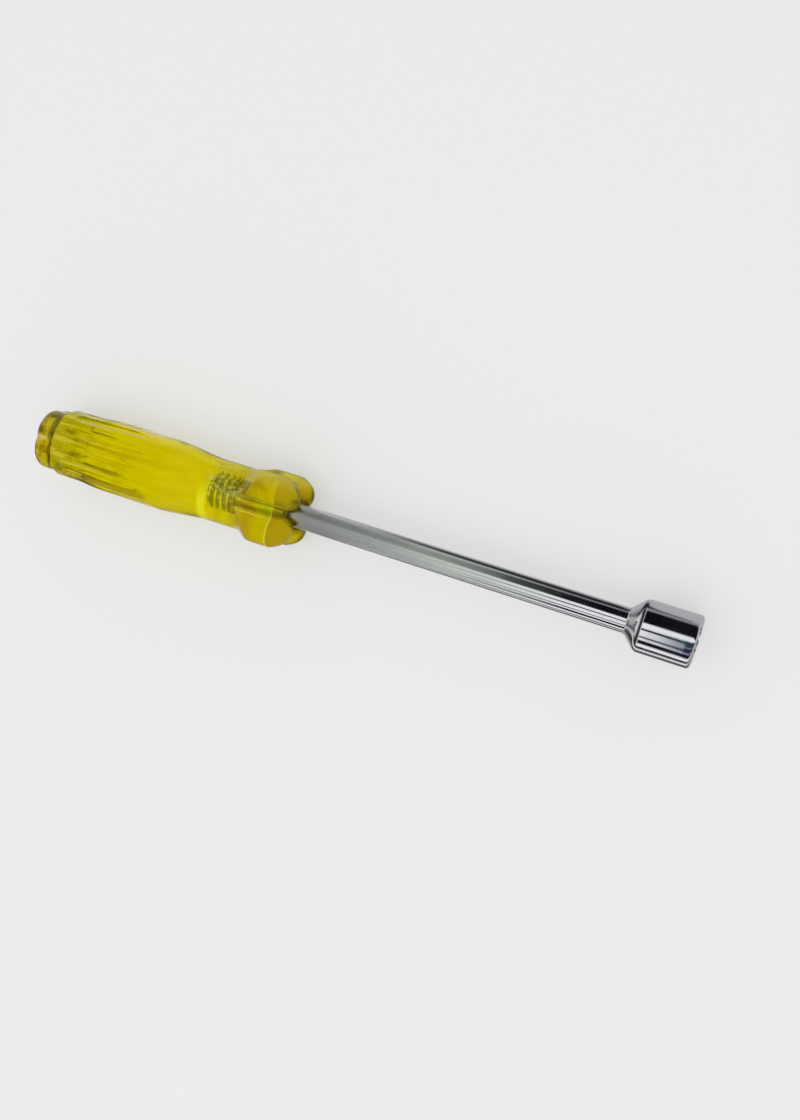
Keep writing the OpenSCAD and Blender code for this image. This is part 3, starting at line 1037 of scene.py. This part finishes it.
def mirror_rays(tree):
    """1 for a ray that was mirrored, and 0 for one that came through the plastic."""
    rays = add(tree, "ShaderNodeLightPath").outputs
    inside = {0: rays["Is Glossy Ray"], 1: rays["Is Transmission Ray"]}
    return add(tree, "ShaderNodeMath", inside, operation="SUBTRACT", use_clamp=True).outputs["Value"]


def floor_bands(tree, place, bands):
    ramp = add(tree, "ShaderNodeValToRGB", {"Fac": between(tree, place, -FLOOR_SPAN, FLOOR_SPAN, 0, 1)})
    set_stops(ramp, [((at + FLOOR_SPAN) / (2 * FLOOR_SPAN), (grey, grey, grey)) for at, grey in bands])
    return ramp.outputs["Color"]


def mirrored_floor(tree):
    """The floor as shiny surfaces mirror it: one set of bands by the metal, and one by the grip."""
    position = add(tree, "ShaderNodeNewGeometry").outputs["Position"]
    place = add(tree, "ShaderNodeSeparateXYZ", {"Vector": position}).outputs
    metal, grip = (floor_bands(tree, place["Y"], bands) for bands in (METAL_FLOOR, GRIP_FLOOR))
    by_grip = between(tree, place["X"], *GRIP_ALONG, 0, 1)
    level = 1.0
    for shade, across in ((SHAFT_SHADE, SHAFT_SHADE_Y), (BOLSTER_SHADE, BOLSTER_SHADE_Y)):
        taken = product(tree, between(tree, place["Y"], *across, 0, 1), floor_bands(tree, place["X"], shade))
        level = product(tree, level, maths(tree, "SUBTRACT", 1.0, taken))
    bands = add(tree, "ShaderNodeEmission", {"Color": tint(tree, metal, grip, by_grip), "Strength": level})
    return bands.outputs["Emission"]


def pale_floor():
    """Plain pale paper, which keeps the tool's shadow and is seen plain through the plastic."""
    finish, tree = empty_finish("pale_floor")
    rays = add(tree, "ShaderNodeLightPath").outputs
    paper = add(tree, "ShaderNodeBsdfDiffuse", {"Color": PAPER}).outputs["BSDF"]
    pale = add(tree, "ShaderNodeEmission", {"Color": PALE, "Strength": 1.0}).outputs["Emission"]
    plain = largest(tree, rays["Is Transmission Ray"], product(tree, rays["Is Camera Ray"], PALE_SHARE))
    seen = add(tree, "ShaderNodeMixShader", {0: plain, 1: paper, 2: pale}).outputs["Shader"]
    both = add(tree, "ShaderNodeMixShader", {0: mirror_rays(tree), 1: seen, 2: mirrored_floor(tree)})
    add(tree, "ShaderNodeOutputMaterial", {"Surface": both.outputs["Shader"]})
    bpy.ops.object.select_all(action="DESELECT")
    bpy.ops.mesh.primitive_plane_add(size=FLOOR_SIZE, location=(0, 0, FLOOR_Z))
    floor = bpy.context.object
    floor.name = "floor"
    floor.data.materials.append(finish)


def room_bands(tree, lean, bands):
    low, high = math.radians(ROOM_LEAN - QUARTER), math.radians(ROOM_LEAN + QUARTER)
    ramp = add(tree, "ShaderNodeValToRGB", {"Fac": between(tree, lean, low, high, 0, 1)})
    set_stops(ramp, [((degrees + QUARTER) / (2 * QUARTER), colour) for degrees, colour in bands])
    return ramp.outputs["Color"]


def mirrored_room(tree):
    """The room as shiny surfaces mirror it: bright windows, a dark ceiling and a grey back."""
    outward = add(tree, "ShaderNodeTexCoord").outputs["Generated"]
    way = add(tree, "ShaderNodeSeparateXYZ", {"Vector": outward}).outputs
    lean = maths(tree, "ARCTAN2", way["Y"], way["Z"])
    left, right = (room_bands(tree, lean, bands) for bands in (LEFT_BANDS, RIGHT_BANDS))
    sides = tint(tree, left, right, between(tree, way["X"], *LEFT_TO_RIGHT, 0, 1))
    back = add(tree, "ShaderNodeValToRGB", {"Fac": between(tree, way["X"], -1, 0, 0, 1)})
    set_stops(back, BACK_OF_ROOM)
    room = tint(tree, back.outputs["Color"], sides, between(tree, way["X"], *BACK_TO_SIDES, 0, 1))
    ceiling = product(
        tree, room_bands(tree, lean, CEILING_SHARE),
        between(tree, way["X"], *CEILING_FROM, 0, 1), between(tree, way["X"], *CEILING_TO, 1, 0),
    )
    return tint(tree, room, DARK, ceiling)


def room_light():
    """Even pale light, with a room round it that only shiny surfaces mirror."""
    world = bpy.data.worlds.new("room")
    bpy.context.scene.world = world
    world.use_nodes = True
    tree = world.node_tree
    tree.nodes.clear()
    colour = tint(tree, SKY, mirrored_room(tree), mirror_rays(tree))
    sky = add(tree, "ShaderNodeBackground", {"Color": colour, "Strength": 1.0})
    add(tree, "ShaderNodeOutputWorld", {"Surface": sky.outputs["Background"]})


def window_lamp():
    bpy.ops.object.select_all(action="DESELECT")
    bpy.ops.object.light_add(type="AREA", location=WINDOW_AT)
    lamp = bpy.context.object
    lamp.name = "window"
    lamp.data.shape = "RECTANGLE"
    lamp.data.size, lamp.data.size_y = WINDOW_SIZE
    lamp.data.energy = WINDOW_POWER
    lamp.visible_glossy = False
    lamp.rotation_euler = (Vector(WINDOW_AIM) - Vector(WINDOW_AT)).to_track_quat("-Z", "Y").to_euler()


def picture_camera():
    eye = Vector(EYE) * MM
    sight = Vector(SIGHT).normalized()
    level = Vector(LEVEL)
    right = (level - sight * level.dot(sight)).normalized()
    up = right.cross(sight)
    bpy.ops.object.camera_add(location=eye)
    camera = bpy.context.object
    camera.name = "picture_camera"
    camera.matrix_world = Matrix.Translation(eye) @ Matrix((right, up, -sight)).transposed().to_4x4()
    camera.data.sensor_width = SENSOR
    camera.data.lens = LENS
    camera.data.clip_start = CLIP_START
    bpy.context.scene.camera = camera


# The tool

make_grip_handle(clear_plastic("clear_yellow_plastic", YELLOW, YELLOW_DEPTH, YELLOW_CLEAR, handle_marks_and_light))
make_butt_cap(clear_plastic("clear_amber_plastic", AMBER, AMBER_DEPTH, AMBER_CLEAR, cap_marks_and_light))
make_shaft(plating("satin_plating", *SHAFT_STEEL))
make_socket_head(plating("bright_plating", *SOCKET_STEEL))

pale_floor()
room_light()
window_lamp()
picture_camera()
bpy.context.scene.view_settings.view_transform = "Standard"
